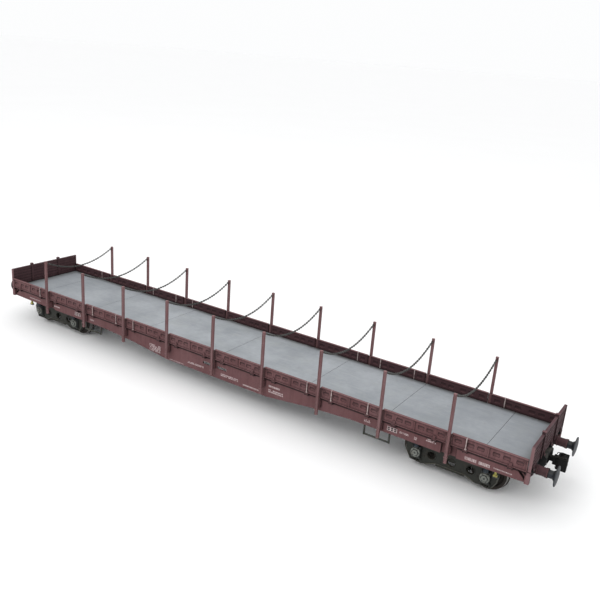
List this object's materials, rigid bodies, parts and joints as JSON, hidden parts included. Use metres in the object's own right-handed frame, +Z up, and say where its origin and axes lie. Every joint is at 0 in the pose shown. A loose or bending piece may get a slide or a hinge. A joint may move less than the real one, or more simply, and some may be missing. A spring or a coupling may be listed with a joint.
{
  "type": "model bogie flat wagon",
  "caption": "Model railway bogie flat wagon with drop sides and ends, stakes tied by hanging chains, a steel deck, sprung buffers and swivelling bogies.",
  "frame": {"origin": "centre of the footprint, on the plane that the wheel flanges stand on", "axes": "+X along the wagon towards its right end, +Y across it towards the far side, +Z up"},
  "size_m": [0.621, 0.0942, 0.0802],
  "materials": {
    "oxide_paint": "weathered matte red oxide paint",
    "deck_steel": "worn blue-grey steel floor plate",
    "frame_paint": "dusty dark grey paint",
    "bogie_paint": "dusty olive grey paint with brake dust",
    "wheel_steel": "turned steel with polished treads and rusty webs",
    "chain_steel": "blackened steel links",
    "buffer_steel": "greased dark steel",
    "coupler_iron": "black cast iron"
  },
  "bodies": {
    "underframe": {"centre_frame": "frame_paint", "near_side_sill": "oxide_paint", "far_side_sill": "oxide_paint", "deck_plates": "deck_steel", "buffer_sleeves": "oxide_paint", "underframe_fittings": "frame_paint"},
    "near_board_1": {"near_board_1": "oxide_paint"},
    "far_board_1": {"far_board_1": "oxide_paint"},
    "near_board_2": {"near_board_2": "oxide_paint"},
    "far_board_2": {"far_board_2": "oxide_paint"},
    "near_board_3": {"near_board_3": "oxide_paint"},
    "far_board_3": {"far_board_3": "oxide_paint"},
    "near_board_4": {"near_board_4": "oxide_paint"},
    "far_board_4": {"far_board_4": "oxide_paint"},
    "near_board_5": {"near_board_5": "oxide_paint"},
    "far_board_5": {"far_board_5": "oxide_paint"},
    "near_board_6": {"near_board_6": "oxide_paint"},
    "far_board_6": {"far_board_6": "oxide_paint"},
    "near_board_7": {"near_board_7": "oxide_paint"},
    "far_board_7": {"far_board_7": "oxide_paint"},
    "near_board_8": {"near_board_8": "oxide_paint"},
    "far_board_8": {"far_board_8": "oxide_paint"},
    "near_board_9": {"near_board_9": "oxide_paint"},
    "far_board_9": {"far_board_9": "oxide_paint"},
    "near_board_10": {"near_board_10": "oxide_paint"},
    "far_board_10": {"far_board_10": "oxide_paint"},
    "left_end_wall": {"left_end_wall": "oxide_paint"},
    "right_end_wall": {"right_end_wall": "oxide_paint"},
    "stake_pair_1": {"stakes_1": "oxide_paint", "chain_1": "chain_steel"},
    "stake_pair_2": {"stakes_2": "oxide_paint", "chain_2": "chain_steel"},
    "stake_pair_3": {"stakes_3": "oxide_paint", "chain_3": "chain_steel"},
    "stake_pair_4": {"stakes_4": "oxide_paint", "chain_4": "chain_steel"},
    "stake_pair_5": {"stakes_5": "oxide_paint", "chain_5": "chain_steel"},
    "stake_pair_6": {"stakes_6": "oxide_paint", "chain_6": "chain_steel"},
    "stake_pair_7": {"stakes_7": "oxide_paint", "chain_7": "chain_steel"},
    "stake_pair_8": {"stakes_8": "oxide_paint", "chain_8": "chain_steel"},
    "stake_pair_9": {"stakes_9": "oxide_paint", "chain_9": "chain_steel"},
    "left_bogie": {"left_bogie_frame": "bogie_paint", "left_axleboxes": "bogie_paint"},
    "right_bogie": {"right_bogie_frame": "bogie_paint", "right_axleboxes": "bogie_paint"},
    "wheelset_1": {"wheelset_1": "wheel_steel"},
    "wheelset_2": {"wheelset_2": "wheel_steel"},
    "wheelset_3": {"wheelset_3": "wheel_steel"},
    "wheelset_4": {"wheelset_4": "wheel_steel"},
    "left_near_buffer": {"left_near_buffer": "buffer_steel"},
    "left_far_buffer": {"left_far_buffer": "buffer_steel"},
    "left_coupler": {"left_coupler": "coupler_iron"},
    "right_near_buffer": {"right_near_buffer": "buffer_steel"},
    "right_far_buffer": {"right_far_buffer": "buffer_steel"},
    "right_coupler": {"right_coupler": "coupler_iron"}
  },
  "joints": [
    {"name": "near_board_1_hinge", "type": "hinge", "parent": "underframe", "child": "near_board_1", "pos_m": [-0.2627, -0.0449, 0.0366], "axis": [1, 0, 0], "range_deg": [0, 180]},
    {"name": "far_board_1_hinge", "type": "hinge", "parent": "underframe", "child": "far_board_1", "pos_m": [-0.2627, 0.0449, 0.0366], "axis": [-1, 0, 0], "range_deg": [0, 180]},
    {"name": "near_board_2_hinge", "type": "hinge", "parent": "underframe", "child": "near_board_2", "pos_m": [-0.203, -0.0449, 0.0366], "axis": [1, 0, 0], "range_deg": [0, 180]},
    {"name": "far_board_2_hinge", "type": "hinge", "parent": "underframe", "child": "far_board_2", "pos_m": [-0.203, 0.0449, 0.0366], "axis": [-1, 0, 0], "range_deg": [0, 180]},
    {"name": "near_board_3_hinge", "type": "hinge", "parent": "underframe", "child": "near_board_3", "pos_m": [-0.14425, -0.0449, 0.0366], "axis": [1, 0, 0], "range_deg": [0, 180]},
    {"name": "far_board_3_hinge", "type": "hinge", "parent": "underframe", "child": "far_board_3", "pos_m": [-0.14425, 0.0449, 0.0366], "axis": [-1, 0, 0], "range_deg": [0, 180]},
    {"name": "near_board_4_hinge", "type": "hinge", "parent": "underframe", "child": "near_board_4", "pos_m": [-0.08575, -0.0449, 0.0366], "axis": [1, 0, 0], "range_deg": [0, 180]},
    {"name": "far_board_4_hinge", "type": "hinge", "parent": "underframe", "child": "far_board_4", "pos_m": [-0.08575, 0.0449, 0.0366], "axis": [-1, 0, 0], "range_deg": [0, 180]},
    {"name": "near_board_5_hinge", "type": "hinge", "parent": "underframe", "child": "near_board_5", "pos_m": [-0.02825, -0.0449, 0.0366], "axis": [1, 0, 0], "range_deg": [0, 180]},
    {"name": "far_board_5_hinge", "type": "hinge", "parent": "underframe", "child": "far_board_5", "pos_m": [-0.02825, 0.0449, 0.0366], "axis": [-1, 0, 0], "range_deg": [0, 180]},
    {"name": "near_board_6_hinge", "type": "hinge", "parent": "underframe", "child": "near_board_6", "pos_m": [0.02825, -0.0449, 0.0366], "axis": [1, 0, 0], "range_deg": [0, 180]},
    {"name": "far_board_6_hinge", "type": "hinge", "parent": "underframe", "child": "far_board_6", "pos_m": [0.02825, 0.0449, 0.0366], "axis": [-1, 0, 0], "range_deg": [0, 180]},
    {"name": "near_board_7_hinge", "type": "hinge", "parent": "underframe", "child": "near_board_7", "pos_m": [0.08575, -0.0449, 0.0366], "axis": [1, 0, 0], "range_deg": [0, 180]},
    {"name": "far_board_7_hinge", "type": "hinge", "parent": "underframe", "child": "far_board_7", "pos_m": [0.08575, 0.0449, 0.0366], "axis": [-1, 0, 0], "range_deg": [0, 180]},
    {"name": "near_board_8_hinge", "type": "hinge", "parent": "underframe", "child": "near_board_8", "pos_m": [0.14425, -0.0449, 0.0366], "axis": [1, 0, 0], "range_deg": [0, 180]},
    {"name": "far_board_8_hinge", "type": "hinge", "parent": "underframe", "child": "far_board_8", "pos_m": [0.14425, 0.0449, 0.0366], "axis": [-1, 0, 0], "range_deg": [0, 180]},
    {"name": "near_board_9_hinge", "type": "hinge", "parent": "underframe", "child": "near_board_9", "pos_m": [0.203, -0.0449, 0.0366], "axis": [1, 0, 0], "range_deg": [0, 180]},
    {"name": "far_board_9_hinge", "type": "hinge", "parent": "underframe", "child": "far_board_9", "pos_m": [0.203, 0.0449, 0.0366], "axis": [-1, 0, 0], "range_deg": [0, 180]},
    {"name": "near_board_10_hinge", "type": "hinge", "parent": "underframe", "child": "near_board_10", "pos_m": [0.2627, -0.0449, 0.0366], "axis": [1, 0, 0], "range_deg": [0, 180]},
    {"name": "far_board_10_hinge", "type": "hinge", "parent": "underframe", "child": "far_board_10", "pos_m": [0.2627, 0.0449, 0.0366], "axis": [-1, 0, 0], "range_deg": [0, 180]},
    {"name": "left_end_wall_hinge", "type": "hinge", "parent": "underframe", "child": "left_end_wall", "pos_m": [-0.2942, 0, 0.0369], "axis": [0, -1, 0], "range_deg": [0, 70]},
    {"name": "right_end_wall_hinge", "type": "hinge", "parent": "underframe", "child": "right_end_wall", "pos_m": [0.2942, 0, 0.0369], "axis": [0, 1, 0], "range_deg": [0, 70]},
    {"name": "stake_pair_1_lift", "type": "slide", "parent": "underframe", "child": "stake_pair_1", "axis": [0, 0, 1], "range_m": [0, 0.008]},
    {"name": "stake_pair_2_lift", "type": "slide", "parent": "underframe", "child": "stake_pair_2", "axis": [0, 0, 1], "range_m": [0, 0.008]},
    {"name": "stake_pair_3_lift", "type": "slide", "parent": "underframe", "child": "stake_pair_3", "axis": [0, 0, 1], "range_m": [0, 0.008]},
    {"name": "stake_pair_4_lift", "type": "slide", "parent": "underframe", "child": "stake_pair_4", "axis": [0, 0, 1], "range_m": [0, 0.008]},
    {"name": "stake_pair_5_lift", "type": "slide", "parent": "underframe", "child": "stake_pair_5", "axis": [0, 0, 1], "range_m": [0, 0.008]},
    {"name": "stake_pair_6_lift", "type": "slide", "parent": "underframe", "child": "stake_pair_6", "axis": [0, 0, 1], "range_m": [0, 0.008]},
    {"name": "stake_pair_7_lift", "type": "slide", "parent": "underframe", "child": "stake_pair_7", "axis": [0, 0, 1], "range_m": [0, 0.008]},
    {"name": "stake_pair_8_lift", "type": "slide", "parent": "underframe", "child": "stake_pair_8", "axis": [0, 0, 1], "range_m": [0, 0.008]},
    {"name": "stake_pair_9_lift", "type": "slide", "parent": "underframe", "child": "stake_pair_9", "axis": [0, 0, 1], "range_m": [0, 0.008]},
    {"name": "left_bogie_swivel", "type": "hinge", "parent": "underframe", "child": "left_bogie", "pos_m": [-0.2315, 0, 0.0265], "axis": [0, 0, 1], "range_deg": [-8, 8]},
    {"name": "right_bogie_swivel", "type": "hinge", "parent": "underframe", "child": "right_bogie", "pos_m": [0.2315, 0, 0.0265], "axis": [0, 0, 1], "range_deg": [-8, 8]},
    {"name": "wheelset_1_spin", "type": "hinge", "parent": "left_bogie", "child": "wheelset_1", "pos_m": [-0.2602, 0, 0.0154], "axis": [0, 1, 0], "continuous": true},
    {"name": "wheelset_2_spin", "type": "hinge", "parent": "left_bogie", "child": "wheelset_2", "pos_m": [-0.2028, 0, 0.0154], "axis": [0, 1, 0], "continuous": true},
    {"name": "wheelset_3_spin", "type": "hinge", "parent": "right_bogie", "child": "wheelset_3", "pos_m": [0.2028, 0, 0.0154], "axis": [0, 1, 0], "continuous": true},
    {"name": "wheelset_4_spin", "type": "hinge", "parent": "right_bogie", "child": "wheelset_4", "pos_m": [0.2602, 0, 0.0154], "axis": [0, 1, 0], "continuous": true},
    {"name": "left_near_buffer_travel", "type": "slide", "parent": "underframe", "child": "left_near_buffer", "axis": [1, 0, 0], "range_m": [0, 0.0033], "stiffness_N_per_m": 300},
    {"name": "left_far_buffer_travel", "type": "slide", "parent": "underframe", "child": "left_far_buffer", "axis": [1, 0, 0], "range_m": [0, 0.0033], "stiffness_N_per_m": 300},
    {"name": "left_coupler_swing", "type": "hinge", "parent": "underframe", "child": "left_coupler", "pos_m": [-0.2835, 0, 0.0316], "axis": [0, 0, 1], "range_deg": [-12, 12], "stiffness_Nm_per_rad": 0.01},
    {"name": "right_near_buffer_travel", "type": "slide", "parent": "underframe", "child": "right_near_buffer", "axis": [-1, 0, 0], "range_m": [0, 0.0033], "stiffness_N_per_m": 300},
    {"name": "right_far_buffer_travel", "type": "slide", "parent": "underframe", "child": "right_far_buffer", "axis": [-1, 0, 0], "range_m": [0, 0.0033], "stiffness_N_per_m": 300},
    {"name": "right_coupler_swing", "type": "hinge", "parent": "underframe", "child": "right_coupler", "pos_m": [0.2835, 0, 0.0316], "axis": [0, 0, 1], "range_deg": [-12, 12], "stiffness_Nm_per_rad": 0.01}
  ]
}
